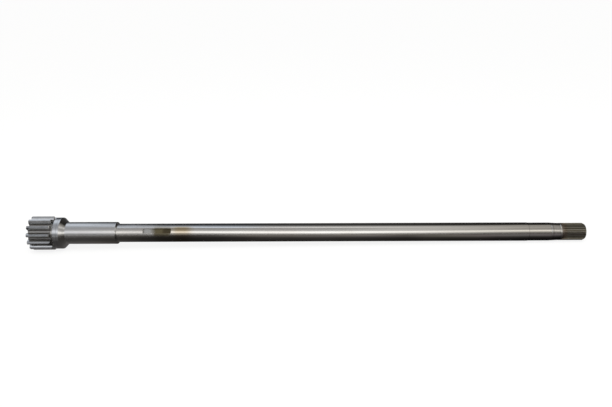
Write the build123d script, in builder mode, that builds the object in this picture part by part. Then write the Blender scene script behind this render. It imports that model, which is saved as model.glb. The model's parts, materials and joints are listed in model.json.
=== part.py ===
from build123d import *
from math import acos, cos, degrees, radians, sin, tan
import os

# Axle shaft of a planetary final drive. It is one forging: turned all over, with a sun gear cut
# on one end and an involute spline cut on the other. Sizes are in millimetres. X runs along the
# axis from the gear's end face to the spline's end face, Z is up, and the shaft lies at rest on
# two teeth of its gear.

# Lengths along the axis
overall_length = 1380.0
gear_width = 56.0
cutter_groove_width = 6.0
collar_width = 16.0
seat_length = 125.5
journal_length = 55.0
ring_groove_width = 2.5
relief_length = 20.5
spline_length = 62.0
spline_land_length = 1.5

# Turned diameters
cutter_groove_diameter = 56.0
collar_diameter = 78.0
seat_diameter = 55.0
shaft_diameter = 46.0
journal_diameter = 45.0
relief_large_diameter = 44.4
relief_small_diameter = 42.5
ring_groove_depth = 0.8

# Tapers, chamfers and fillets
cone_angle = 45.0
edge_chamfer = 1.5
seat_chamfer = 2.0
shoulder_fillet = 2.0
spline_lead_length = 4.5
spline_lead_depth = 2.6

# Sun gear
gear_teeth = 12
gear_module = 6.0
gear_pressure_angle = 20.0
gear_root_fillet = 1.8

# Involute spline, cut by a hob that lifts out at the shaft end of the teeth
spline_teeth = 26
spline_module = 1.5875
spline_pressure_angle = 30.0
spline_root_clearance = 0.35
hob_radius = 45.0

# Keyway
keyway_start = 281.0
keyway_length = 70.0
keyway_width = 12.0
keyway_depth = 5.0
keyway_corner_radius = 2.0
keyway_rise_angle = 35.0

# Lathe centres
centre_pilot_radius = 2.5
centre_mouth_radius = 5.3
centre_depth = 12.0
centre_angle = 60.0

# How far a cutter starts or ends clear of the metal
overcut = 1.0
# Points that carry one involute flank
flank_points = 5

# Radii worked out from the teeth
gear_tip_radius = gear_module * (gear_teeth + 2) / 2
gear_root_radius = gear_module * (gear_teeth - 2.5) / 2
spline_tip_radius = spline_module * (spline_teeth + 1) / 2
spline_root_radius = spline_module * (spline_teeth - 1 - spline_root_clearance) / 2

# Stations along the axis, from the gear's end face
groove_start = gear_width
collar_start = groove_start + cutter_groove_width
cone_start = collar_start + collar_width
cone_length = (collar_diameter - seat_diameter) / 2 / tan(radians(cone_angle))
seat_start = cone_start + cone_length
seat_end = seat_start + seat_length
spline_start = overall_length - spline_length
relief_end = spline_start - ring_groove_width
relief_start = relief_end - relief_length
journal_end = relief_start - ring_groove_width
journal_start = journal_end - journal_length
journal_step = (shaft_diameter - journal_diameter) / 2


def involute_turn(base_radius, radius):
    """Degrees that an involute turns through between its base circle and a radius."""
    angle = acos(base_radius / radius)
    return degrees(tan(angle) - angle)


def polar(radius, angle):
    """Point of a sketch at a radius and an angle in degrees."""
    return Vector(radius, 0).rotate(Axis.Z, angle)


def tooth_space(teeth, module, pressure_angle, root_radius, tip_radius, root_fillet=0):
    """Outline of the space between two involute teeth, centred on the sketch's X axis."""
    pitch_radius = module * teeth / 2
    base_radius = pitch_radius * cos(radians(pressure_angle))
    at_base = 90 / teeth - involute_turn(base_radius, pitch_radius)
    flank_start = max(base_radius, root_radius)
    flank_end = tip_radius + overcut
    step = (flank_end - flank_start) / (flank_points - 1)
    radii = [flank_start + step * i for i in range(flank_points)]
    upper = [polar(r, at_base + involute_turn(base_radius, r)) for r in radii]
    lower = [Vector(p.X, -p.Y) for p in upper]
    root_angle = at_base + involute_turn(base_radius, flank_start)
    root_upper = polar(root_radius, root_angle)
    root_lower = polar(root_radius, -root_angle)
    with BuildSketch(mode=Mode.PRIVATE) as space:
        with BuildLine():
            Spline(*upper)
            ThreePointArc(upper[-1], (flank_end, 0), lower[-1])
            Spline(*lower)
            if root_radius < base_radius:
                Line(root_upper, upper[0])
                Line(root_lower, lower[0])
            ThreePointArc(root_lower, (root_radius, 0), root_upper)
        make_face()
        if root_fillet:
            fillet(space.vertices().sort_by(SortBy.DISTANCE)[:2], root_fillet)
    return space.sketch


gear_space = tooth_space(
    gear_teeth,
    gear_module,
    gear_pressure_angle,
    gear_root_radius,
    gear_tip_radius,
    gear_root_fillet,
)
spline_space = tooth_space(
    spline_teeth, spline_module, spline_pressure_angle, spline_root_radius, spline_tip_radius
)

# One cut of the hob: straight from the end face, then lifting out along the hob's own radius
tooth_depth = spline_tip_radius - spline_root_radius
hob_lift_angle = degrees(acos(1 - (tooth_depth + overcut) / hob_radius))
run_out_length = hob_radius * sin(acos(1 - tooth_depth / hob_radius))
full_depth_start = spline_start + spline_land_length + run_out_length
hob_axis = Axis((full_depth_start, spline_root_radius + hob_radius, 0), (0, 0, 1))
with BuildPart() as hob_cut:
    with BuildSketch(Plane.YZ.offset(full_depth_start)) as hob_section:
        add(spline_space)
    extrude(amount=overall_length - full_depth_start + overcut)
    revolve(hob_section.sketch, axis=hob_axis, revolution_arc=-hob_lift_angle)

with BuildPart() as axle_shaft:
    # Turned blank
    with BuildSketch(Plane.XY) as half_section:
        with BuildLine():
            Polyline(
                (0, 0),
                (0, gear_tip_radius - edge_chamfer),
                (edge_chamfer, gear_tip_radius),
                (groove_start - edge_chamfer, gear_tip_radius),
                (groove_start, gear_tip_radius - edge_chamfer),
                (groove_start, cutter_groove_diameter / 2),
                (collar_start, cutter_groove_diameter / 2),
                (collar_start, collar_diameter / 2 - edge_chamfer),
                (collar_start + edge_chamfer, collar_diameter / 2),
                (cone_start, collar_diameter / 2),
                (seat_start, seat_diameter / 2),
                (seat_end - seat_chamfer, seat_diameter / 2),
                (seat_end, seat_diameter / 2 - seat_chamfer),
                (seat_end, shaft_diameter / 2),
                (journal_start, shaft_diameter / 2),
                (journal_start + journal_step, journal_diameter / 2),
                (journal_end, journal_diameter / 2),
                (journal_end + ring_groove_depth, journal_diameter / 2 - ring_groove_depth),
                (relief_start - ring_groove_depth, journal_diameter / 2 - ring_groove_depth),
                (relief_start, relief_large_diameter / 2),
                (relief_end, relief_small_diameter / 2),
                (relief_end + ring_groove_depth, relief_small_diameter / 2 - ring_groove_depth),
                (spline_start - ring_groove_depth, relief_small_diameter / 2 - ring_groove_depth),
                (spline_start, spline_tip_radius),
                (overall_length - spline_lead_length, spline_tip_radius),
                (overall_length, spline_tip_radius - spline_lead_depth),
                (overall_length, 0),
                close=True,
            )
        make_face()
    revolve(axis=Axis.X)

    # Fillet at the foot of the bearing seat's step
    step_circles = axle_shaft.edges().filter_by_position(Axis.X, seat_end, seat_end)
    fillet(step_circles.sort_by(SortBy.RADIUS)[0], shoulder_fillet)

    # Sun gear, cut through into the groove
    with BuildSketch(Plane.YZ.offset(-overcut)) as gear_spaces:
        with PolarLocations(0, gear_teeth):
            add(gear_space)
    extrude(amount=overcut + gear_width + cutter_groove_width / 2, mode=Mode.SUBTRACT)

    # Spline
    tooth_turns = [Rotation(tooth * 360 / spline_teeth, 0, 0) for tooth in range(spline_teeth)]
    with Locations(*tooth_turns):
        add(hob_cut.part, mode=Mode.SUBTRACT)

    # Keyway, milled as a flat-bottomed pocket
    keyway_floor = Plane(
        origin=(keyway_start + keyway_length / 2, 0, 0),
        x_dir=(1, 0, 0),
        z_dir=Vector(0, -1, 0).rotate(Axis.X, -keyway_rise_angle),
    ).offset(shaft_diameter / 2 - keyway_depth)
    with BuildSketch(keyway_floor) as keyway_outline:
        RectangleRounded(keyway_length, keyway_width, keyway_corner_radius)
    extrude(amount=keyway_depth + overcut, mode=Mode.SUBTRACT)

    # Lathe centres in both ends
    gear_end = Plane(origin=(0, 0, 0), z_dir=(-1, 0, 0))
    spline_end = Plane(origin=(overall_length, 0, 0), z_dir=(1, 0, 0))
    with Locations(gear_end, spline_end):
        CounterSinkHole(
            radius=centre_pilot_radius,
            counter_sink_radius=centre_mouth_radius,
            depth=centre_depth,
            counter_sink_angle=centre_angle,
        )

axle_shaft.part.label = "axle_shaft"
os.makedirs("parts", exist_ok=True)
export_step(axle_shaft.part, "parts/axle_shaft.step")
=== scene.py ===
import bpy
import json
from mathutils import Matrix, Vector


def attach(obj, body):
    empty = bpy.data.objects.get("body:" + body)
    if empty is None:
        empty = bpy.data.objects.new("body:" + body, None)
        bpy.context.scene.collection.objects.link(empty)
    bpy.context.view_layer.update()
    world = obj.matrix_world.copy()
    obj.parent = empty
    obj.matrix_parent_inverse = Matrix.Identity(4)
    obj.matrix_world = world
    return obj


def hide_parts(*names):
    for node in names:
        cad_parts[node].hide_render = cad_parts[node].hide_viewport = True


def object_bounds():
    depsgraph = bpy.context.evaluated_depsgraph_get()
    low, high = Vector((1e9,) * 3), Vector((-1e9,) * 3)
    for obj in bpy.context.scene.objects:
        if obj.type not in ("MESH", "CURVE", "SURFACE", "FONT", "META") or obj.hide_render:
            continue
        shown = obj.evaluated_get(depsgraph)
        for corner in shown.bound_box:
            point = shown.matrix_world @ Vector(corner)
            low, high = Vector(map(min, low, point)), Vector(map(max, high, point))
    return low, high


bl_info = {
    "name": "Axle Shaft",
    "version": (1, 0, 0),
    "blender": (4, 5, 0),
    "location": "3D View > Sidebar > Axle Shaft",
    "description": "Models a ground steel axle shaft with a sun gear and a spline, and lights it",
    "category": "Add Mesh",
}

import json
from math import acos, asin, atan, cos, pi, radians, sin, tan

import bpy
from bpy.props import FloatProperty, FloatVectorProperty, IntProperty, PointerProperty
from bpy.types import Operator, Panel, PropertyGroup
from mathutils import Matrix, Vector

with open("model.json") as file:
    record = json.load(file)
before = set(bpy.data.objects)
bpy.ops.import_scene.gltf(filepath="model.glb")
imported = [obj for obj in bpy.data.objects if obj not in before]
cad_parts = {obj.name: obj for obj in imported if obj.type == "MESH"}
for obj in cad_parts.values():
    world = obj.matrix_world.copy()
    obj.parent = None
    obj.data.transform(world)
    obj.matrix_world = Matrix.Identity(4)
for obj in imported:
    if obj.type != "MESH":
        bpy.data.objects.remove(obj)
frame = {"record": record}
CAD_LOW, CAD_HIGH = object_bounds()

# One millimetre, in Blender's metres
MM = 0.001
MOUNTS = {mount["name"]: mount for mount in frame["record"]["mounts"]}
SEAT = MOUNTS["bearing_seat"]
JOURNAL = MOUNTS["journal"]

# Two places closer together than this are the same place
HAIR = 0.01 * MM
# How far a cutter starts or ends clear of the steel
OVERCUT = 1 * MM
# No ring of facets is longer than this, so that none is a sliver
LONGEST_RING = 40 * MM
# Facets round the turned blank and on each small curve
ROUND_STEPS = 192
GROOVE_FILLET_STEPS = 4
SHOULDER_FILLET_STEPS = 6
ROOT_STEPS = 3
ROOT_FILLET_STEPS = 6
GEAR_FLANK_STEPS = 10
SPLINE_FLANK_STEPS = 6
RUN_OUT_STEPS = 8
KEYWAY_CORNER_STEPS = 6
# Faces that meet at less than this are shaded as one curve
SMOOTH_ANGLE = radians(30)
# Depth of the tooth spaces below the pitch circle, in modules
GEAR_DEDENDUM = 1.25
SPLINE_DEDENDUM = 0.675


def length(name, millimetres, description):
    """A length or a radius that the panel shows."""
    return FloatProperty(
        name=name,
        description=description,
        default=millimetres * MM,
        min=0.0,
        unit="LENGTH",
        precision=5,
    )


def angle(name, value, description):
    """An angle that the panel shows."""
    return FloatProperty(name=name, description=description, default=radians(value), subtype="ANGLE")


def linear(hex_colour):
    """Linear colour of an sRGB hex value."""
    channels = [int(hex_colour[i : i + 2], 16) / 255 for i in (1, 3, 5)]
    return [c / 12.92 if c <= 0.04045 else ((c + 0.055) / 1.055) ** 2.4 for c in channels]


def colour(name, hex_colour, description):
    """A colour that the panel shows."""
    return FloatVectorProperty(
        name=name,
        description=description,
        default=linear(hex_colour),
        size=3,
        min=0.0,
        max=1.0,
        subtype="COLOR",
    )


class ShaftSizes(PropertyGroup):
    """Sizes of the turned blank, its teeth and its keyway."""

    overall_length: length("Overall length", CAD_HIGH.x / MM, "From the gear's end face to the spline's")
    gear_width: length("Gear width", 56, "Length of the gear's teeth")
    cutter_groove_width: length("Cutter groove width", 6, "Room for the gear cutter behind the teeth")
    cutter_groove_radius: length("Cutter groove radius", 28, "Radius at the bottom of the cutter groove")
    collar_width: length("Collar width", 16, "Length of the collar behind the groove")
    collar_radius: length("Collar radius", 39, "Radius of the collar")
    seat_radius: length("Bearing seat radius", SEAT["dims"]["r_mm"], "Radius of the ground bearing seat")
    seat_length: length("Bearing seat length", 125.5, "From the cone to the end of the seat")
    shaft_radius: length("Shaft radius", 23, "Radius of the plain shaft")
    journal_radius: length("Journal radius", JOURNAL["dims"]["r_mm"], "Radius of the ground journal")
    journal_length: length("Journal length", 55, "Length of the journal")
    ring_groove_width: length("Ring groove width", 2.5, "Width of the two ring grooves")
    ring_groove_depth: length("Ring groove depth", 0.8, "Depth of the two ring grooves")
    relief_length: length("Relief length", 20.5, "Length of the tapered relief between the ring grooves")
    relief_large_radius: length("Relief large radius", 22.2, "Radius of the relief at the journal")
    relief_small_radius: length("Relief small radius", 21.25, "Radius of the relief at the spline")
    edge_chamfer: length("Edge chamfer", 1.5, "Chamfer on the gear and the collar")
    seat_chamfer: length("Seat chamfer", 2, "Chamfer at the end of the bearing seat")
    shoulder_fillet: length("Shoulder fillet", 2, "Fillet at the foot of the seat's step")
    groove_fillet: length("Groove fillet", 1, "Fillet in the corners of the cutter groove")
    pilot_radius: length("Centre pilot radius", 2.5, "Radius of the drilled part of a lathe centre")
    mouth_radius: length("Centre mouth radius", 5.3, "Radius of a lathe centre at the end face")
    centre_depth: length("Centre depth", 12, "Depth of a lathe centre")
    centre_angle: angle("Centre angle", 60, "Full angle of a lathe centre's cone")
    gear_teeth: IntProperty(name="Gear teeth", description="Teeth of the sun gear", default=12, min=6)
    gear_module: length("Gear module", 6, "Pitch diameter over the number of teeth")
    gear_pressure_angle: angle("Gear pressure angle", 20, "Slope of the gear's flanks")
    gear_root_fillet: length("Gear root fillet", 1.8, "Fillet at the foot of the gear's teeth")
    gear_tip_break: length("Gear tip break", 0.4, "How far the sharp edges of the gear's tips are broken")
    spline_teeth: IntProperty(name="Spline teeth", description="Teeth of the spline", default=26, min=6)
    spline_module: length("Spline module", 1.5875, "Pitch diameter over the number of teeth")
    spline_pressure_angle: angle("Spline pressure angle", 30, "Slope of the spline's flanks")
    spline_length: length("Spline length", 62, "Length of the splined end")
    spline_land: length("Spline land", 1.5, "Plain band before the hob's run-out")
    spline_lead_length: length("Spline lead length", 4.5, "Length of the chamfer on the spline's end")
    spline_lead_depth: length("Spline lead depth", 2.6, "Depth of the chamfer on the spline's end")
    hob_radius: length("Hob radius", 45, "Radius of the hob that cut the spline")
    keyway_start: length("Keyway start", 281, "From the gear's end face to the keyway")
    keyway_length: length("Keyway length", 70, "Length of the keyway")
    keyway_width: length("Keyway width", 12, "Width of the keyway")
    keyway_depth: length("Keyway depth", 5, "Depth of the keyway at its middle")
    keyway_corner: length("Keyway corner radius", 2, "Radius of the keyway's four corners")
    keyway_rise: angle("Keyway rise", 35, "How far the keyway stands above the viewer's side")


def select_none():
    """Leaves edit mode and deselects every object."""
    if bpy.context.object and bpy.context.object.mode != "OBJECT":
        bpy.ops.object.mode_set(mode="OBJECT")
    bpy.ops.object.select_all(action="DESELECT")


def make_active(piece):
    """Selects one object alone."""
    select_none()
    piece.select_set(True)
    bpy.context.view_layer.objects.active = piece


def draw_outline(name, points, closed=False):
    """New piece that is one line of edges, drawn from point to point."""
    select_none()
    bpy.ops.mesh.primitive_plane_add(size=1)
    piece = bpy.context.object
    piece.name = name
    bpy.ops.object.mode_set(mode="EDIT")
    bpy.ops.mesh.select_mode(type="VERT")
    bpy.ops.mesh.merge(type="CENTER")
    bpy.ops.transform.translate(value=points[0])
    for start, end in zip(points, points[1:]):
        step = Vector(end) - Vector(start)
        bpy.ops.mesh.extrude_vertices_move(TRANSFORM_OT_translate={"value": step})
    if closed:
        bpy.ops.mesh.select_all(action="SELECT")
        bpy.ops.mesh.edge_face_add()
    return piece


def select_faces(piece, wanted):
    """Selects the faces of a piece in edit mode that a test picks."""
    bpy.ops.mesh.select_all(action="DESELECT")
    bpy.ops.mesh.select_mode(type="FACE")
    bpy.ops.object.mode_set(mode="OBJECT")
    for face in piece.data.polygons:
        face.select = wanted(face)
    bpy.ops.object.mode_set(mode="EDIT")


def select_edges(piece, wanted):
    """Selects the edges of a piece in edit mode whose two ends pass a test."""
    bpy.ops.mesh.select_all(action="DESELECT")
    bpy.ops.mesh.select_mode(type="EDGE")
    bpy.ops.object.mode_set(mode="OBJECT")
    corners = piece.data.vertices
    for edge in piece.data.edges:
        edge.select = wanted(*(corners[i].co for i in edge.vertices))
    bpy.ops.object.mode_set(mode="EDIT")


def cut(piece, cutter):
    """Takes a cutter's solids out of a piece and removes the cutter."""
    make_active(piece)
    boolean = piece.modifiers.new("Cut", "BOOLEAN")
    boolean.operation = "DIFFERENCE"
    boolean.solver = "MANIFOLD"
    boolean.object = cutter
    bpy.ops.object.modifier_apply(modifier=boolean.name)
    bpy.data.objects.remove(cutter)


def arc(centre, radius, start, end, steps):
    """Points of an arc from one angle to another, in degrees."""
    turns = [radians(start + (end - start) * i / steps) for i in range(steps + 1)]
    return [(centre[0] + radius * cos(t), centre[1] + radius * sin(t)) for t in turns]


def stations(sizes):
    """Places along the axis where one diameter gives way to the next."""
    groove_start = sizes.gear_width
    collar_start = groove_start + sizes.cutter_groove_width
    cone_start = collar_start + sizes.collar_width
    seat_start = cone_start + sizes.collar_radius - sizes.seat_radius
    seat_end = seat_start + sizes.seat_length
    spline_start = sizes.overall_length - sizes.spline_length
    relief_end = spline_start - sizes.ring_groove_width
    relief_start = relief_end - sizes.relief_length
    journal_end = relief_start - sizes.ring_groove_width
    journal_start = journal_end - sizes.journal_length
    return {
        "groove": groove_start,
        "collar": collar_start,
        "cone": cone_start,
        "seat": seat_start,
        "seat_end": seat_end,
        "journal": journal_start,
        "journal_end": journal_end,
        "relief": relief_start,
        "relief_end": relief_end,
        "spline": spline_start,
    }


def gear_tip_radius(sizes):
    return sizes.gear_module * (sizes.gear_teeth + 2) / 2


def spline_tip_radius(sizes):
    return sizes.spline_module * (sizes.spline_teeth + 1) / 2


def centre_outline(sizes, face, inward):
    """Half section of a lathe centre, from its bottom out to the end face."""
    cone_depth = (sizes.mouth_radius - sizes.pilot_radius) / tan(sizes.centre_angle / 2)
    return [
        (face + inward * sizes.centre_depth, 0),
        (face + inward * sizes.centre_depth, sizes.pilot_radius),
        (face + inward * cone_depth, sizes.pilot_radius),
        (face, sizes.mouth_radius),
    ]


def turned_outline(sizes):
    """Half section of the turned blank, from one lathe centre to the other."""
    at = stations(sizes)
    tip = gear_tip_radius(sizes)
    chamfer = sizes.edge_chamfer
    foot = sizes.groove_fillet
    fillet = sizes.shoulder_fillet
    deep = sizes.ring_groove_depth
    step = sizes.shaft_radius - sizes.journal_radius
    bottom = sizes.cutter_groove_radius
    outline = centre_outline(sizes, 0, 1)
    outline += [(0, tip - chamfer), (chamfer, tip)]
    outline += [(at["groove"] - chamfer, tip), (at["groove"], tip - chamfer)]
    outline += arc((at["groove"] + foot, bottom + foot), foot, 180, 270, GROOVE_FILLET_STEPS)
    outline += arc((at["collar"] - foot, bottom + foot), foot, 270, 360, GROOVE_FILLET_STEPS)
    outline += [(at["collar"], sizes.collar_radius - chamfer)]
    outline += [(at["collar"] + chamfer, sizes.collar_radius), (at["cone"], sizes.collar_radius)]
    outline += [(at["seat"], sizes.seat_radius), (at["seat_end"] - sizes.seat_chamfer, sizes.seat_radius)]
    outline += [(at["seat_end"], sizes.seat_radius - sizes.seat_chamfer)]
    centre = (at["seat_end"] + fillet, sizes.shaft_radius + fillet)
    outline += arc(centre, fillet, 180, 270, SHOULDER_FILLET_STEPS)
    outline += [(at["journal"], sizes.shaft_radius), (at["journal"] + step, sizes.journal_radius)]
    outline += [(at["journal_end"], sizes.journal_radius)]
    outline += [(at["journal_end"] + deep, sizes.journal_radius - deep)]
    outline += [(at["relief"] - deep, sizes.journal_radius - deep)]
    outline += [(at["relief"], sizes.relief_large_radius)]
    outline += [(at["relief_end"], sizes.relief_small_radius)]
    outline += [(at["relief_end"] + deep, sizes.relief_small_radius - deep)]
    outline += [(at["spline"] - deep, sizes.relief_small_radius - deep)]
    outline += [(at["spline"], spline_tip_radius(sizes))]
    outline += [(sizes.overall_length - sizes.spline_lead_length, spline_tip_radius(sizes))]
    outline += [(sizes.overall_length, spline_tip_radius(sizes) - sizes.spline_lead_depth)]
    outline += reversed(centre_outline(sizes, sizes.overall_length, -1))
    return outline


def divided(outline):
    """An outline with its long runs divided."""
    points = [outline[0]]
    for start, end in zip(outline, outline[1:]):
        pieces = max(1, int(abs(end[0] - start[0]) / LONGEST_RING) + 1)
        for i in range(1, pieces + 1):
            share = i / pieces
            points.append(tuple(a + (b - a) * share for a, b in zip(start, end)))
    return points


def turn_blank(sizes):
    """The blank, spun from its half section as on a lathe."""
    points = [(x, 0, radius) for x, radius in divided(turned_outline(sizes))]
    blank = draw_outline("axle_shaft_steel", points)
    bpy.ops.mesh.select_all(action="SELECT")
    bpy.ops.mesh.spin(steps=ROUND_STEPS, angle=2 * pi, center=(0, 0, 0), axis=(1, 0, 0))
    bpy.ops.mesh.select_all(action="SELECT")
    bpy.ops.mesh.remove_doubles(threshold=HAIR / 10)
    bpy.ops.mesh.normals_make_consistent(inside=False)
    select_none()
    return blank


def involute(base_radius, radius):
    """Angle that an involute turns through between its base circle and a radius."""
    roll = acos(base_radius / radius)
    return tan(roll) - roll


def tooth_space(
    teeth, module, pressure_angle, root_radius, tip_radius, root_fillet, steps, tip_break=0
):
    """Half outline of the space between two involute teeth, from its middle out, as radii and angles."""
    pitch_radius = module * teeth / 2
    base_radius = pitch_radius * cos(pressure_angle)
    at_base = pi / 2 / teeth - involute(base_radius, pitch_radius)
    flank_start = max(base_radius, root_radius)
    flank_end = tip_radius - tip_break if tip_break else tip_radius + OVERCUT
    at_root = at_base + involute(base_radius, flank_start)
    turn = asin(root_fillet / (root_radius + root_fillet))
    centre_radius, centre_angle = root_radius + root_fillet, at_root - turn
    # Along the root, round its fillet and up the flank
    points = [(root_radius, centre_angle * i / ROOT_STEPS) for i in range(ROOT_STEPS)]
    centre = Vector((centre_radius * cos(centre_angle), centre_radius * sin(centre_angle)))
    start, end = centre_angle + pi, at_root + pi / 2
    fillet_steps = ROOT_FILLET_STEPS if root_fillet else 0
    for i in range(fillet_steps + 1):
        turned = start + (end - start) * i / max(fillet_steps, 1)
        point = centre + root_fillet * Vector((cos(turned), sin(turned)))
        points.append((point.length, point.angle_signed(Vector((1, 0)))))
    for i in range(steps + 1):
        radius = flank_start + (flank_end - flank_start) * i / steps
        if radius > points[-1][0] + HAIR:
            points.append((radius, at_base + involute(base_radius, radius)))
    # Over the edge of the tip at 45 degrees
    if tip_break:
        radius, turned = points[-1]
        wide = tip_break + OVERCUT
        points.append((radius + wide, turned + wide / tip_radius))
    return points


def space_outline(half, x):
    """Closed outline of a tooth space across the axis, centred on +Y."""
    mirrored = [(radius, -turned) for radius, turned in reversed(half[1:])]
    outer_middle = (half[-1][0], 0)
    loop = mirrored + half + [outer_middle]
    return [(x, radius * cos(turned), radius * sin(turned)) for radius, turned in loop]


def repeat_round(turns, step):
    """Copies what is selected round the axis, until there are so many in all."""
    bpy.ops.mesh.select_all(action="SELECT")
    bpy.ops.mesh.spin(
        steps=turns - 1, dupli=True, angle=step * (turns - 1), center=(0, 0, 0), axis=(1, 0, 0)
    )
    bpy.ops.mesh.select_all(action="SELECT")
    bpy.ops.mesh.normals_make_consistent(inside=False)
    select_none()


def cut_gear(blank, sizes):
    """The sun gear's teeth, left standing between the cutter's passes."""
    teeth, module = sizes.gear_teeth, sizes.gear_module
    half = tooth_space(
        teeth,
        module,
        sizes.gear_pressure_angle,
        module * (teeth - 2 * GEAR_DEDENDUM) / 2,
        gear_tip_radius(sizes),
        sizes.gear_root_fillet,
        GEAR_FLANK_STEPS,
        sizes.gear_tip_break,
    )
    cutter = draw_outline("gear_cutter", space_outline(half, -OVERCUT), closed=True)
    run = OVERCUT + sizes.gear_width + sizes.cutter_groove_width / 2
    bpy.ops.mesh.extrude_region_move(TRANSFORM_OT_translate={"value": (run, 0, 0)})
    repeat_round(teeth, 2 * pi / teeth)
    cut(blank, cutter)


def cut_spline(blank, sizes):
    """The spline's spaces, each run out on the radius of the hob."""
    teeth, module = sizes.spline_teeth, sizes.spline_module
    tip_radius = spline_tip_radius(sizes)
    root_radius = module * (teeth - 2 * SPLINE_DEDENDUM) / 2
    half = tooth_space(
        teeth, module, sizes.spline_pressure_angle, root_radius, tip_radius, 0, SPLINE_FLANK_STEPS
    )
    depth = tip_radius - root_radius
    run_out = sizes.hob_radius * sin(acos(1 - depth / sizes.hob_radius))
    lift = acos(1 - (depth + OVERCUT) / sizes.hob_radius)
    full_depth = stations(sizes)["spline"] + sizes.spline_land + run_out
    cutter = draw_outline("spline_cutter", space_outline(half, full_depth), closed=True)
    hob_centre = (full_depth, root_radius + sizes.hob_radius, 0)
    bpy.ops.mesh.spin(steps=RUN_OUT_STEPS, angle=lift, center=hob_centre, axis=(0, 0, 1))
    select_faces(cutter, lambda face: abs(face.center.x - full_depth) < HAIR)
    run = sizes.overall_length + OVERCUT - full_depth
    bpy.ops.mesh.extrude_region_move(TRANSFORM_OT_translate={"value": (run, 0, 0)})
    repeat_round(teeth, 2 * pi / teeth)
    cut(blank, cutter)


def mill_keyway(blank, sizes):
    """The keyway, a flat-bottomed pocket with rounded corners on the viewer's side."""
    floor = sizes.shaft_radius - sizes.keyway_depth
    height = sizes.keyway_depth + OVERCUT
    select_none()
    bpy.ops.mesh.primitive_cube_add(size=1)
    cutter = bpy.context.object
    bpy.ops.object.mode_set(mode="EDIT")
    bpy.ops.transform.resize(value=(sizes.keyway_length, height, sizes.keyway_width))
    middle = sizes.keyway_start + sizes.keyway_length / 2
    bpy.ops.transform.translate(value=(middle, -floor - height / 2, 0))
    select_edges(cutter, lambda start, end: abs(start.y - end.y) > height / 2)
    bpy.ops.mesh.bevel(offset=sizes.keyway_corner, segments=KEYWAY_CORNER_STEPS)
    bpy.ops.mesh.select_all(action="SELECT")
    bpy.ops.transform.rotate(value=sizes.keyway_rise, orient_axis="X", center_override=(0, 0, 0))
    bpy.ops.mesh.normals_make_consistent(inside=False)
    cut(blank, cutter)


class SteelColours(PropertyGroup):
    """Colours of the bare steel, of what lies on it, and of painted shade."""

    steel: colour("Steel", "#c7c5c1", "Freshly ground steel")
    hardened: colour("Hardened steel", "#acaba8", "Hardened teeth, a little darker than the shaft")
    oil: colour("Oil", "#645c46", "Film of old oil")
    khaki: colour("Khaki stain", "#a68f62", "Brown-yellow stain where oil has dried")
    stain: colour("Stain", "#a58f76", "Faint brown stains")
    rust: colour("Rust", "#705440", "Brown bloom on the spline's run-out")
    dust: colour("Oily dust", "#6f6a5c", "Oil and dust that cover the spline")
    # Also the colour of the painted shade at the keyway's end
    grime_and_shade: colour("Grime", "#3d3528", "Oil and dust in the deepest places")
    tool_marks: colour("Tool marks", "#3d3d3e", "Grey dirt in the marks of the lathe tool")


class StudioSettings(PropertyGroup):
    """Camera, floor and light."""

    camera_x: length("Camera place", 685.2, "How far along the shaft the camera stands")
    camera_distance: length("Camera distance", 1494.6, "From the camera to the shaft's axis")
    camera_elevation: angle("Camera elevation", 24, "How far the camera stands above the shaft")
    camera_lift: angle("Camera lift", 2.765, "How far above the axis the camera aims")
    camera_roll: angle("Camera roll", -0.19, "Turn of the camera about its own line of sight")
    lens: FloatProperty(name="Lens", description="Focal length in mm", default=35.0, min=1.0)
    sensor: FloatProperty(name="Sensor", description="Sensor's width in mm", default=36.0, min=1.0)
    floor: colour("Floor", "#f4f4f2", "Pale studio floor")
    tent_radius: length("Tent radius", 2500, "From the shaft's axis to the cloth of the light tent")
    tent_length: length("Tent length", 16000, "Length of the light tent")


def add_node(tree, kind, inputs=None, **settings):
    """Adds a node, sets its properties, and sets or links its inputs."""
    node = tree.nodes.new(kind)
    for name, value in settings.items():
        setattr(node, name, value)
    for name, value in (inputs or {}).items():
        if isinstance(value, bpy.types.NodeSocket):
            tree.links.new(value, node.inputs[name])
        else:
            node.inputs[name].default_value = value
    return node


def maths(tree, operation, *values):
    """Result of one Math node."""
    return add_node(tree, "ShaderNodeMath", dict(enumerate(values)), operation=operation).outputs[0]


def rescaled(tree, value, low, high, at_low=0.0, at_high=1.0, smooth=False):
    """A value moved from one range to another and held inside it."""
    inputs = {"Value": value, "From Min": low, "From Max": high, "To Min": at_low, "To Max": at_high}
    kind = "SMOOTHSTEP" if smooth else "LINEAR"
    return add_node(tree, "ShaderNodeMapRange", inputs, interpolation_type=kind).outputs["Result"]


def window(tree, value, low, high, soft):
    """1 between two values and 0 outside them, with soft edges."""
    rising = rescaled(tree, value, low - soft / 2, low + soft / 2, smooth=True)
    falling = rescaled(tree, value, high - soft / 2, high + soft / 2, 1.0, 0.0, smooth=True)
    return maths(tree, "MULTIPLY", rising, falling)


def rgba(colour):
    """A colour with its alpha, or the socket that gives a colour."""
    return colour if isinstance(colour, bpy.types.NodeSocket) else [*colour, 1]


def blended(tree, share, first, second, blend_type="MIX"):
    """Colour between two colours, or one laid on the other."""
    # The node's sockets share names, so its factor and its two colours go by number
    inputs = {0: share, 6: rgba(first), 7: rgba(second)}
    mix = add_node(tree, "ShaderNodeMix", inputs, data_type="RGBA", blend_type=blend_type)
    return mix.outputs[2]


def noise(tree, vector, scale, detail=3.0, roughness=0.55):
    """Value of a noise texture."""
    inputs = {"Vector": vector, "Scale": scale, "Detail": detail, "Roughness": roughness}
    return add_node(tree, "ShaderNodeTexNoise", inputs).outputs["Fac"]


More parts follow.
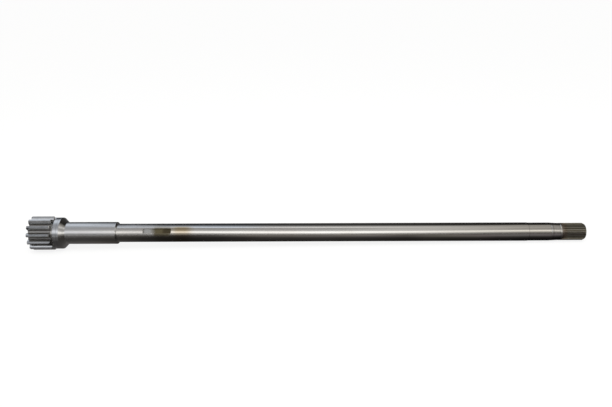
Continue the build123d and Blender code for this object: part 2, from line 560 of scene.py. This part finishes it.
class Finish:
    """One steel material on its way: its node tree and the places that its patterns follow."""

    def __init__(self, name):
        self.material = bpy.data.materials.new(name)
        self.material.use_nodes = True
        self.tree = self.material.node_tree
        self.shader = self.tree.nodes["Principled BSDF"]
        self.shader.inputs["Metallic"].default_value = 1.0
        self.place = add_node(self.tree, "ShaderNodeTexCoord").outputs["Object"]
        parts = add_node(self.tree, "ShaderNodeSeparateXYZ", {"Vector": self.place}).outputs
        self.x, self.y, self.z = parts
        across = add_node(self.tree, "ShaderNodeCombineXYZ", {"Y": self.y, "Z": self.z}).outputs[0]
        distance = add_node(self.tree, "ShaderNodeVectorMath", {0: across}, operation="LENGTH")
        self.radius = distance.outputs["Value"]
        toward = maths(self.tree, "MULTIPLY", self.y, -1.0)
        self.turn = maths(self.tree, "ARCTAN2", self.z, toward)

    def rings(self, width):
        """Marks that run round the axis, on the round faces and on the end faces."""
        # A share of the radius is added, so that the end faces have rings too
        along = maths(self.tree, "MULTIPLY_ADD", self.radius, 0.6, self.x)
        scaled = maths(self.tree, "DIVIDE", along, width)
        inputs = {"W": scaled, "Scale": 1.0, "Detail": 3.0, "Roughness": 0.65}
        grain = add_node(self.tree, "ShaderNodeTexNoise", inputs, noise_dimensions="1D")
        return grain.outputs["Fac"]

    def cloud(self, scale, stretch=1.0):
        """Soft blotches, stretched along the axis."""
        shape = {"Vector": self.place, "Scale": (1 / stretch, 1, 1)}
        mapped = add_node(self.tree, "ShaderNodeMapping", shape).outputs["Vector"]
        return noise(self.tree, mapped, scale, 4.0)

    def stained(self, base, colour, pattern, low, high, most):
        """A base colour with a stain laid on it where a pattern is high."""
        share = rescaled(self.tree, pattern, low, high, 0.0, most)
        return blended(self.tree, share, base, colour)

    def dress(self, base, roughness, height, depth):
        """Gives the shader its colour, its roughness and its bump."""
        self.tree.links.new(base, self.shader.inputs["Base Color"])
        self.tree.links.new(roughness, self.shader.inputs["Roughness"])
        inputs = {"Height": height, "Strength": 0.6, "Distance": depth}
        bump = add_node(self.tree, "ShaderNodeBump", inputs).outputs["Normal"]
        self.tree.links.new(bump, self.shader.inputs["Normal"])
        return self.material


def ground_steel(colours, sizes):
    """Shaft, seat and journal ground on centres: close to a mirror, with faint marks round the axis,
    a film of old oil at the keyway and a khaki stain past its end"""
    finish = Finish("ground_steel")
    tree = finish.tree
    # Real grinding marks are some 0.05 mm wide: these are coarser, so that a close view shows them
    marks = finish.rings(0.9 * MM)
    cloud = finish.cloud(16.0, 3.0)
    end = sizes.keyway_start + sizes.keyway_length
    base = finish.stained(colours.steel, colours.stain, cloud, 0.5, 0.8, 0.25)
    # The stain is thickest above the keyway's middle, thinner below it, and faint behind
    side = window(tree, finish.turn, radians(-120), radians(62), radians(14))
    upper = window(tree, finish.turn, radians(33), radians(62), radians(12))
    thick = maths(tree, "MULTIPLY_ADD", side, 0.45, 0.15)
    thick = maths(tree, "MULTIPLY_ADD", upper, 0.3, thick)
    edge = maths(tree, "MULTIPLY_ADD", cloud, 16 * MM, finish.x)
    faint = rescaled(tree, edge, end - 38 * MM, end - 20 * MM, 0.0, 0.4, smooth=True)
    strong = rescaled(tree, edge, end + 8 * MM, end + 26 * MM, 0.0, 0.45, smooth=True)
    fade = rescaled(tree, edge, end + 41 * MM, end + 70 * MM, 1.0, 0.0, smooth=True)
    dried = maths(tree, "MULTIPLY", maths(tree, "ADD", faint, strong), fade)
    dried = maths(tree, "MULTIPLY", dried, thick)
    base = finish.stained(base, colours.khaki, dried, 0.0, 1.0, 1.0)
    # Oil creeps out of the keyway over its two long sides
    ragged_x = maths(tree, "MULTIPLY_ADD", finish.cloud(60.0), 14 * MM, finish.x)
    beside = window(tree, finish.turn, radians(1), radians(53), radians(14))
    beside = maths(tree, "MULTIPLY_ADD", beside, 0.75, 0.15)
    reach = window(tree, ragged_x, end - 35 * MM, end + 4 * MM, 9 * MM)
    wet = maths(tree, "MULTIPLY", beside, reach)
    base = finish.stained(base, colours.oil, wet, 0.0, 1.0, 1.0)
    # A thin darker line lies at the step down to the journal
    journal = stations(sizes)["journal"]
    line = window(tree, finish.x, journal - 0.8 * MM, journal + 1.6 * MM, 1 * MM)
    base = finish.stained(base, colours.grime_and_shade, line, 0.0, 1.0, 0.2)
    # Oil dulls the steel, most of all toward the gear, and wiping leaves long soft streaks
    dull = rescaled(tree, finish.x, end - 50 * MM, end - 30 * MM, 0.08, 0.0, smooth=True)
    wiped = maths(tree, "ADD", dull, rescaled(tree, cloud, 0.35, 0.65, 0.1, 0.16))
    wiped = maths(tree, "MULTIPLY_ADD", wet, 0.3, wiped)
    worn = maths(tree, "MULTIPLY_ADD", marks, 0.03, wiped)
    return finish.dress(base, worn, marks, 0.004 * MM)


def turned_steel(colours, sizes):
    """Collar, cone, grooves, relief, chamfers and end faces turned on a lathe: satin, with the tool's
    feed rings and a little dirt in them"""
    finish = Finish("turned_steel")
    # Real feed marks are some 0.2 mm apart: these are coarser, so that they show
    marks = finish.rings(1.2 * MM)
    cloud = finish.cloud(30.0)
    base = finish.stained(colours.steel, colours.hardened, cloud, 0.4, 0.7, 0.5)
    base = finish.stained(base, colours.tool_marks, marks, 0.6, 0.85, 0.4)
    base = finish.stained(base, colours.tool_marks, finish.rings(4.5 * MM), 0.5, 0.8, 0.4)
    worn = rescaled(finish.tree, marks, 0.3, 0.7, 0.14, 0.24)
    return finish.dress(base, worn, marks, 0.01 * MM)


def hobbed_gear_steel(colours, sizes):
    """Gear teeth hobbed and hardened: satin, with the hob's marks across the flanks, and darker and
    rougher toward the roots"""
    finish = Finish("hobbed_gear_steel")
    tip = gear_tip_radius(sizes)
    # Real hob marks are some 0.5 mm apart: these are coarser, so that they show
    marks = finish.rings(1.6 * MM)
    cloud = finish.cloud(45.0)
    blotched_radius = maths(finish.tree, "MULTIPLY_ADD", cloud, 2 * MM, finish.radius)
    # The teeth grow darker and rougher toward their roots
    low = rescaled(finish.tree, blotched_radius, tip - 13 * MM, tip - 7 * MM, 1.0, 0.0)
    base = finish.stained(colours.steel, colours.hardened, cloud, 0.3, 0.7, 0.8)
    base = finish.stained(base, colours.grime_and_shade, low, 0.0, 1.0, 0.6)
    dulled = rescaled(finish.tree, low, 0.0, 1.0, 0.14, 0.4)
    worn = maths(finish.tree, "MULTIPLY_ADD", marks, 0.08, dulled)
    return finish.dress(base, worn, marks, 0.015 * MM)


def oiled_spline_steel(colours, sizes):
    """Spline teeth hobbed and left under old oil and dust: dark olive grey, brown at the run-out,
    with crests a little lighter"""
    finish = Finish("oiled_spline_steel")
    tree = finish.tree
    tip = spline_tip_radius(sizes)
    start = stations(sizes)["spline"]
    cloud = finish.cloud(60.0)
    marks = finish.rings(1.4 * MM)
    uneven = maths(tree, "MULTIPLY_ADD", cloud, 0.3 * MM, finish.radius)
    # The crests are a little lighter
    crest = rescaled(tree, uneven, tip - 0.5 * MM, tip + 0.1 * MM)
    base = finish.stained(colours.dust, colours.hardened, crest, 0.0, 1.0, 0.4)
    brown = window(tree, finish.x, start + 1 * MM, start + 14 * MM, 10 * MM)
    base = finish.stained(base, colours.rust, brown, 0.0, 1.0, 0.35)
    # The plain land before the teeth is as clean as the relief beside it
    land = rescaled(tree, finish.x, start + 0.8 * MM, start + 2.2 * MM, 1.0, 0.0, smooth=True)
    base = finish.stained(base, colours.steel, land, 0.0, 1.0, 0.9)
    worn = maths(tree, "MULTIPLY_ADD", cloud, 0.15, 0.28)
    return finish.dress(base, worn, marks, 0.015 * MM)


def milled_steel(colours, sizes):
    """Keyway milled with an end mill: arcs of the cutter on its floor, a film of old oil, and painted
    shade that darkens its end
    """
    finish = Finish("milled_steel")
    tree = finish.tree
    level = {"Vector": finish.place, "Rotation": (sizes.keyway_rise, 0, 0)}
    turned = add_node(tree, "ShaderNodeMapping", level).outputs["Vector"]
    across = add_node(tree, "ShaderNodeSeparateXYZ", {"Vector": turned}).outputs["Z"]
    reach = sizes.keyway_width / 2
    square = maths(tree, "SUBTRACT", reach**2, maths(tree, "MULTIPLY", across, across))
    bow = maths(tree, "SQRT", maths(tree, "MAXIMUM", square, 0.0))
    path = maths(tree, "SUBTRACT", finish.x, bow)
    # One arc a millimetre: the real feed marks are finer
    arcs = maths(tree, "SINE", maths(tree, "MULTIPLY", path, 2 * pi / (1.0 * MM)))
    cloud = finish.cloud(50.0)
    end = sizes.keyway_start + sizes.keyway_length
    ragged_x = maths(tree, "MULTIPLY_ADD", cloud, 14 * MM, finish.x)
    clean = rescaled(tree, ragged_x, end - 48 * MM, end - 30 * MM, 1.0, 0.0, smooth=True)
    base = finish.stained(colours.oil, colours.hardened, clean, 0.0, 1.0, 0.9)
    # Painted shade: the floor darkens toward the keyway's end wall
    end_wall_shade = rescaled(tree, ragged_x, end - 16 * MM, end - 10 * MM, smooth=True)
    base = finish.stained(base, colours.grime_and_shade, end_wall_shade, 0.0, 1.0, 0.7)
    base = finish.stained(base, colours.grime_and_shade, arcs, 0.6, 1.0, 0.3)
    worn = rescaled(tree, cloud, 0.3, 0.7, 0.35, 0.5)
    return finish.dress(base, worn, arcs, 0.01 * MM)


FINISHES = (ground_steel, turned_steel, hobbed_gear_steel, oiled_spline_steel, milled_steel)


def finish_of(face, at, sizes):
    """The finish that a face of the shaft has."""
    x = face.center.x
    radius = Vector((face.center.y, face.center.z)).length
    # Such a face runs along the axis, not across it
    level = abs(face.normal.x) < 0.3
    if at["spline"] < x < sizes.overall_length - HAIR:
        return oiled_spline_steel
    in_gear = HAIR < x < at["groove"]
    if in_gear and (level or radius < sizes.cutter_groove_radius + 1 * MM):
        return hobbed_gear_steel
    below = radius < sizes.shaft_radius - 0.2 * MM
    if below and sizes.keyway_start < x < sizes.keyway_start + sizes.keyway_length:
        return milled_steel
    on_seat = at["seat"] < x < at["seat_end"] - sizes.seat_chamfer
    on_shaft = at["seat_end"] + sizes.shoulder_fillet < x < at["journal_end"]
    return ground_steel if level and (on_seat or on_shaft) else turned_steel


class OBJECT_OT_axle_shaft(Operator):
    """Model the shaft: turn its blank, cut the gear, the spline and the keyway, and finish the steel"""

    bl_idname = "axle.add_shaft"
    bl_label = "Add Shaft"

    def execute(self, context):
        sizes = context.scene.shaft_sizes
        colours = context.scene.steel_colours
        shaft = turn_blank(sizes)
        cut_gear(shaft, sizes)
        cut_spline(shaft, sizes)
        mill_keyway(shaft, sizes)
        make_active(shaft)
        bpy.ops.object.shade_smooth_by_angle(angle=SMOOTH_ANGLE)
        shaft.data.materials.clear()
        for finish in FINISHES:
            shaft.data.materials.append(finish(colours, sizes))
        at = stations(sizes)
        for face in shaft.data.polygons:
            face.material_index = FINISHES.index(finish_of(face, at, sizes))
        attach(shaft, "root")
        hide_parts("axle_shaft")
        return {"FINISHED"}


def glossy_only(piece):
    """Stages a sheet so that only reflections see it."""
    piece.visible_camera = False
    piece.visible_diffuse = False
    piece.visible_transmission = False
    piece.visible_volume_scatter = False
    piece.visible_shadow = False


# What the steel reflects: the angle about the shaft's axis, from the viewer's horizon at 0 over the
# top at 90 to the horizon behind at 180, with the floor below 0, and the level of light there.
# The soft box stands at 17 to 41, with the lamps of the roof above it.
LIGHT_PAST_GEAR = (
    (-180, 0.1),
    (-172, 0.55),
    (-150, 0.5),
    (-137, 0.16),
    (-100, 0.16),
    (-75, 0.15),
    (-50, 0.07),
    (-30, 0.06),
    (-10, 0.2),
    (8, 0.4),
    (16, 0.6),
    (20, 1.3),
    (36, 1.4),
    (42, 0.75),
    (60, 0.55),
    (85, 0.55),
    (98, 0.8),
    (106, 1.15),
    (130, 1.0),
    (138, 0.4),
    (150, 0.12),
    (180, 0.1),
)
LIGHT_ALONG_SHAFT = (
    (-180, 0.06),
    (-172, 0.55),
    (-150, 0.5),
    (-137, 0.04),
    (-50, 0.03),
    (-38, 0.038),
    (-27, 0.063),
    (-14, 0.17),
    (0, 0.34),
    (12, 0.6),
    (17, 1.8),
    (36, 1.95),
    (42, 0.85),
    (52, 0.7),
    (66, 0.5),
    (82, 0.5),
    (87, 1.25),
    (95, 1.2),
    (102, 0.6),
    (114, 0.42),
    (122, 0.16),
    (132, 0.07),
    (145, 0.05),
    (180, 0.06),
)
LIGHT_AT_SPLINE = (
    (-180, 0.04),
    (-172, 0.45),
    (-150, 0.4),
    (-137, 0.015),
    (-60, 0.008),
    (-38, 0.012),
    (-27, 0.06),
    (-16, 0.185),
    (-4, 0.13),
    (8, 0.18),
    (20, 0.45),
    (27, 0.9),
    (32, 1.3),
    (42, 1.3),
    (47, 0.5),
    (62, 0.4),
    (75, 0.56),
    (90, 0.44),
    (106, 0.5),
    (114, 0.3),
    (122, 0.04),
    (140, 0.015),
    (180, 0.04),
)
# Tint of the light from the roof over the gear
SKY_TINT = (0.86, 0.94, 1.08)
# Tint of all the tent's light, from the gear's end at 0 to the spline's at 1: it grows warmer
TENT_TINTS = (
    (0.0, (0.86, 0.92, 1.04)),
    (0.12, (0.90, 0.93, 1.0)),
    (0.3, (0.86, 0.85, 0.84)),
    (0.35, (0.86, 0.86, 0.86)),
    (0.4, (0.97, 0.98, 0.99)),
    (0.47, (1.0, 1.0, 1.02)),
    (0.55, (1.0, 1.0, 1.0)),
    (0.75, (1.0, 0.98, 0.95)),
    (0.93, (1.0, 0.95, 0.88)),
    (1.0, (1.0, 0.96, 0.91)),
)
# Tint of the light from the floor, along the shaft in the same way
FLOOR_TINTS = (
    (0.0, (0.94, 0.95, 1.0)),
    (0.12, (0.9, 0.85, 0.82)),
    (0.2, (0.46, 0.44, 0.42)),
    (0.27, (0.54, 0.5, 0.47)),
    (0.33, (0.88, 0.85, 0.81)),
    (0.42, (1.0, 0.95, 0.91)),
    (0.65, (1.0, 0.93, 0.89)),
    (0.75, (1.0, 0.95, 0.85)),
    (0.83, (1.0, 0.89, 0.88)),
    (0.89, (1.0, 0.96, 0.95)),
    (1.0, (1.04, 0.94, 1.0)),
)


def add_ramp(tree, value, low, high, stops):
    """Colour that follows a value through stops of (value, colour)."""
    ramp = add_node(tree, "ShaderNodeValToRGB", {"Fac": rescaled(tree, value, low, high)})
    elements = ramp.color_ramp.elements
    elements.remove(elements[1])
    for i, (place, colour) in enumerate(stops):
        element = elements[0] if i == 0 else elements.new(1.0)
        element.position = (place - low) / (high - low)
        element.color = rgba(colour)
    return ramp.outputs["Color"]


# Levels and tints are halved in the nodes, where colours stop at 1, and this makes up for both
FULL_STRENGTH = 4.0
# The tent is wide, so the shaft's two ends mirror places well past them: between these two, in
# metres, the tent's light changes from that of the gear's end to that of the spline's
TENT_GEAR_END = -1.2
TENT_SPLINE_END = 2.5
TENT_STEPS = 48
TENT_UNEVENNESS = 0.05
# The stage, with its lengths in metres
FLOOR_SIDE = 60
# Share of the floor's look that is its own even light
FLOOR_GLOW = 0.85
SHEET_WIDTH = 9
SHEET_DEPTH = 5
SHEET_LIFT = 1 * MM
SHEET_UNEVENNESS = 0.35
# Under the shaft the sheet is hardly longer than it, so that the end faces reflect the pale floor
SHEET_PAST_ENDS = 0.1
LAMP_FORWARD = 1.0
LAMP_HEIGHT = 2.2
LAMP_SIZE = (2.4, 1.6)
LAMP_WATTS = 40


def lit_cloth(name, gear_end, spline_end, unevenness, tints):
    """Glowing cloth for the steel to reflect: its light changes from the gear's end to the spline's."""
    material = bpy.data.materials.new(name)
    material.use_nodes = True
    tree = material.node_tree
    tree.nodes.clear()
    place = add_node(tree, "ShaderNodeTexCoord").outputs["Object"]
    x, y, z = add_node(tree, "ShaderNodeSeparateXYZ", {"Vector": place}).outputs
    turn = maths(tree, "ARCTAN2", z, maths(tree, "MULTIPLY", y, -1.0))
    along = rescaled(tree, x, gear_end, spline_end)
    # All of the light stands a little higher over the gear and a little lower over the middle
    lift = rescaled(tree, along, 0.28, 0.38, radians(4), 0.0, smooth=True)
    sag = rescaled(tree, turn, radians(85), radians(115), radians(-4.5), radians(-9))
    lift = maths(tree, "MULTIPLY_ADD", window(tree, along, 0.44, 0.86, 0.2), sag, lift)
    turn = maths(tree, "SUBTRACT", turn, lift)
    near, middle, far = (
        add_ramp(tree, turn, -pi, pi, [(radians(at), [level / 2] * 3) for at, level in levels])
        for levels in (LIGHT_PAST_GEAR, LIGHT_ALONG_SHAFT, LIGHT_AT_SPLINE)
    )
    share = rescaled(tree, along, 0.5, 0.95, smooth=True)
    past = window(tree, x, gear_end - 0.5, spline_end + 1.0, 1.0)
    light = blended(tree, maths(tree, "MULTIPLY", share, past), middle, far)
    light = blended(tree, rescaled(tree, along, 0.1, 0.26, smooth=True), near, light)
    # Folds and things lying about make the cloth's light uneven along the shaft
    folds = noise(tree, place, 5.0, 2.0)
    uneven = rescaled(tree, folds, 0.3, 0.7, 1 - unevenness, 1 + unevenness)
    tinted = add_ramp(tree, along, 0, 1, [(at, [c / 2 for c in tint]) for at, tint in tints])
    tint = blended(tree, past, [0.5, 0.5, 0.5], tinted)
    # Toward the gear the light from the roof is the blue of the sky
    roof = rescaled(tree, turn, radians(72), radians(92), smooth=True)
    gear_side = rescaled(tree, along, 0.39, 0.46, 1.0, 0.0, smooth=True)
    sky = maths(tree, "MULTIPLY", maths(tree, "MULTIPLY", roof, gear_side), past)
    tint = blended(tree, sky, tint, [c / 2 for c in SKY_TINT])
    product = blended(tree, 1.0, light, tint, "MULTIPLY")
    # One more lamp lights the roof over the spline's half of the shaft
    lit = window(tree, turn, radians(50), radians(84), radians(12))
    lit = maths(tree, "MULTIPLY", lit, window(tree, along, 0.62, 0.86, 0.16))
    brighter = maths(tree, "MULTIPLY_ADD", lit, 0.4 * FULL_STRENGTH, FULL_STRENGTH)
    strength = maths(tree, "MULTIPLY", uneven, brighter)
    shine = add_node(tree, "ShaderNodeEmission", {"Color": product, "Strength": strength})
    add_node(tree, "ShaderNodeOutputMaterial", {"Surface": shine.outputs["Emission"]})
    return material


def add_tent(sizes, studio):
    """Half-round light tent over the shaft, which the steel reflects."""
    half = studio.tent_length / 2
    middle = sizes.overall_length / 2
    ends = [(middle - half, -studio.tent_radius, 0), (middle + half, -studio.tent_radius, 0)]
    tent = draw_outline("light_tent", ends)
    bpy.ops.mesh.select_all(action="SELECT")
    bpy.ops.mesh.spin(steps=TENT_STEPS, angle=pi, center=(0, 0, 0), axis=(1, 0, 0))
    select_none()
    cloth = lit_cloth(
        "lit_tent_cloth", TENT_GEAR_END, TENT_SPLINE_END, TENT_UNEVENNESS, TENT_TINTS
    )
    tent.data.materials.append(cloth)
    glossy_only(tent)


def rest_line(sizes):
    """Height of the floor under the gear's face and its rise along the axis."""
    gear_x = sizes.gear_width - sizes.edge_chamfer
    spline_x = sizes.overall_length - sizes.spline_lead_length
    rise = (-spline_tip_radius(sizes) - CAD_LOW.z) / (spline_x - gear_x)
    return CAD_LOW.z - rise * gear_x, rise


def add_level(name, width, depth, above, sizes, waist=0):
    """A flat sheet along the line that the shaft rests on, narrowed to a waist under the shaft."""
    height, rise = rest_line(sizes)
    select_none()
    bpy.ops.mesh.primitive_plane_add(size=1)
    sheet = bpy.context.object
    sheet.name = name
    bpy.ops.object.mode_set(mode="EDIT")
    bpy.ops.transform.resize(value=(width, depth, 1))
    if waist:
        bpy.ops.mesh.subdivide(number_cuts=1)
        select_edges(sheet, lambda start, end: abs(start.y) < MM and abs(end.y) < MM)
        bpy.ops.transform.resize(value=(waist / width, 1, 1))
        bpy.ops.mesh.select_all(action="SELECT")
    bpy.ops.transform.translate(value=(sizes.overall_length / 2, 0, 0))
    bpy.ops.transform.rotate(value=atan(rise), orient_axis="Y", center_override=(0, 0, 0))
    bpy.ops.transform.translate(value=(0, 0, height + above))
    select_none()
    return sheet


def seen_rays(tree):
    """1 for the rays that make the picture, its reflections and what shows through glass."""
    ray = add_node(tree, "ShaderNodeLightPath").outputs
    seen = maths(tree, "MAXIMUM", ray["Is Camera Ray"], ray["Is Glossy Ray"])
    return maths(tree, "MAXIMUM", seen, ray["Is Transmission Ray"])


def add_floor(sizes, studio):
    """Pale floor under the gear's teeth and the spline's end."""
    floor = add_level("floor", FLOOR_SIDE, FLOOR_SIDE, 0, sizes)
    material = bpy.data.materials.new("painted_floor")
    material.use_nodes = True
    tree = material.node_tree
    tree.nodes.clear()
    matt = add_node(tree, "ShaderNodeBsdfDiffuse", {"Color": rgba(studio.floor)}).outputs["BSDF"]
    white = add_node(tree, "ShaderNodeEmission", {"Strength": 1.0}).outputs["Emission"]
    # The floor's own light keeps the background white and leaves a faint shadow
    share = maths(tree, "MULTIPLY", seen_rays(tree), FLOOR_GLOW)
    mix = add_node(tree, "ShaderNodeMixShader", {"Fac": share, 1: matt, 2: white}).outputs[0]
    add_node(tree, "ShaderNodeOutputMaterial", {"Surface": mix})
    floor.data.materials.append(material)


def add_dark_sheet(sizes):
    """Sheet on the floor that only reflections see, for the steel's dark lower half."""
    waist = sizes.overall_length + SHEET_PAST_ENDS
    sheet = add_level("floor_sheet", SHEET_WIDTH, SHEET_DEPTH, SHEET_LIFT, sizes, waist)
    cloth = lit_cloth(
        "dark_floor_cloth", 0, sizes.overall_length, SHEET_UNEVENNESS, FLOOR_TINTS
    )
    sheet.data.materials.append(cloth)
    glossy_only(sheet)


def add_world():
    """White to the camera and to reflections, and an even fill on everything else."""
    world = bpy.data.worlds.new("studio")
    bpy.context.scene.world = world
    world.use_nodes = True
    tree = world.node_tree
    tree.nodes.clear()
    fill = add_node(tree, "ShaderNodeBackground", {"Color": (0.95, 0.95, 0.95, 1)}).outputs[0]
    white = add_node(tree, "ShaderNodeBackground", {"Color": (1, 1, 1, 1)}).outputs[0]
    mix = add_node(tree, "ShaderNodeMixShader", {"Fac": seen_rays(tree), 1: fill, 2: white}).outputs[0]
    add_node(tree, "ShaderNodeOutputWorld", {"Surface": mix})


def add_lamp(sizes):
    """Large soft lamp above and in front of the shaft."""
    select_none()
    place = (sizes.overall_length / 2, -LAMP_FORWARD, LAMP_HEIGHT)
    bpy.ops.object.light_add(type="AREA", location=place)
    lamp = bpy.context.object
    lamp.name = "key_lamp"
    lamp.data.shape = "RECTANGLE"
    lamp.data.size, lamp.data.size_y = LAMP_SIZE
    lamp.data.energy = LAMP_WATTS
    lamp.rotation_euler = (atan(LAMP_FORWARD / LAMP_HEIGHT), 0, 0)
    lamp.visible_glossy = False
    lamp.visible_camera = False


def add_camera(studio):
    """Camera at the photograph's viewing angle."""
    select_none()
    elevation = studio.camera_elevation
    back = Vector((0, -cos(elevation), sin(elevation))) * studio.camera_distance
    location = Vector((studio.camera_x, 0, 0)) + back
    bpy.ops.object.camera_add(location=location)
    camera = bpy.context.object
    camera.data.lens = studio.lens
    camera.data.sensor_width = studio.sensor
    camera.data.clip_start = 0.01
    camera.data.clip_end = 100
    tilt = Matrix.Rotation(pi / 2 - elevation + studio.camera_lift, 4, "X")
    roll = Matrix.Rotation(studio.camera_roll, 4, "Z")
    camera.matrix_world = Matrix.Translation(location) @ tilt @ roll
    bpy.context.scene.camera = camera


class OBJECT_OT_axle_studio(Operator):
    """Set the stage: a pale floor, a light tent, a soft lamp and the camera"""

    bl_idname = "axle.add_studio"
    bl_label = "Add Studio"

    def execute(self, context):
        sizes = context.scene.shaft_sizes
        studio = context.scene.studio_settings
        add_floor(sizes, studio)
        add_dark_sheet(sizes)
        add_tent(sizes, studio)
        add_world()
        add_lamp(sizes)
        add_camera(studio)
        context.scene.view_settings.view_transform = "Standard"
        return {"FINISHED"}


class VIEW3D_PT_axle_shaft(Panel):
    """Sidebar panel with the shaft's sizes, colours and steps"""

    bl_label = "Axle Shaft"
    bl_space_type = "VIEW_3D"
    bl_region_type = "UI"
    bl_category = "Axle Shaft"

    def draw(self, context):
        layout = self.layout
        for settings in GROUPS:
            box = layout.box()
            for name in settings.bl_rna.properties.keys():
                if name not in ("rna_type", "name"):
                    box.prop(getattr(context.scene, GROUPS[settings]), name)
        for operator in OPERATORS:
            layout.operator(operator.bl_idname)


GROUPS = {
    ShaftSizes: "shaft_sizes",
    SteelColours: "steel_colours",
    StudioSettings: "studio_settings",
}
OPERATORS = (OBJECT_OT_axle_shaft, OBJECT_OT_axle_studio)


def register():
    for cls in (*GROUPS, *OPERATORS, VIEW3D_PT_axle_shaft):
        bpy.utils.register_class(cls)
    for group, name in GROUPS.items():
        setattr(bpy.types.Scene, name, PointerProperty(type=group))


def unregister():
    for name in GROUPS.values():
        delattr(bpy.types.Scene, name)
    for cls in reversed((*GROUPS, *OPERATORS, VIEW3D_PT_axle_shaft)):
        bpy.utils.unregister_class(cls)


def main():
    register()
    bpy.ops.axle.add_shaft()
    bpy.ops.axle.add_studio()


if __name__ == "__main__":
    main()
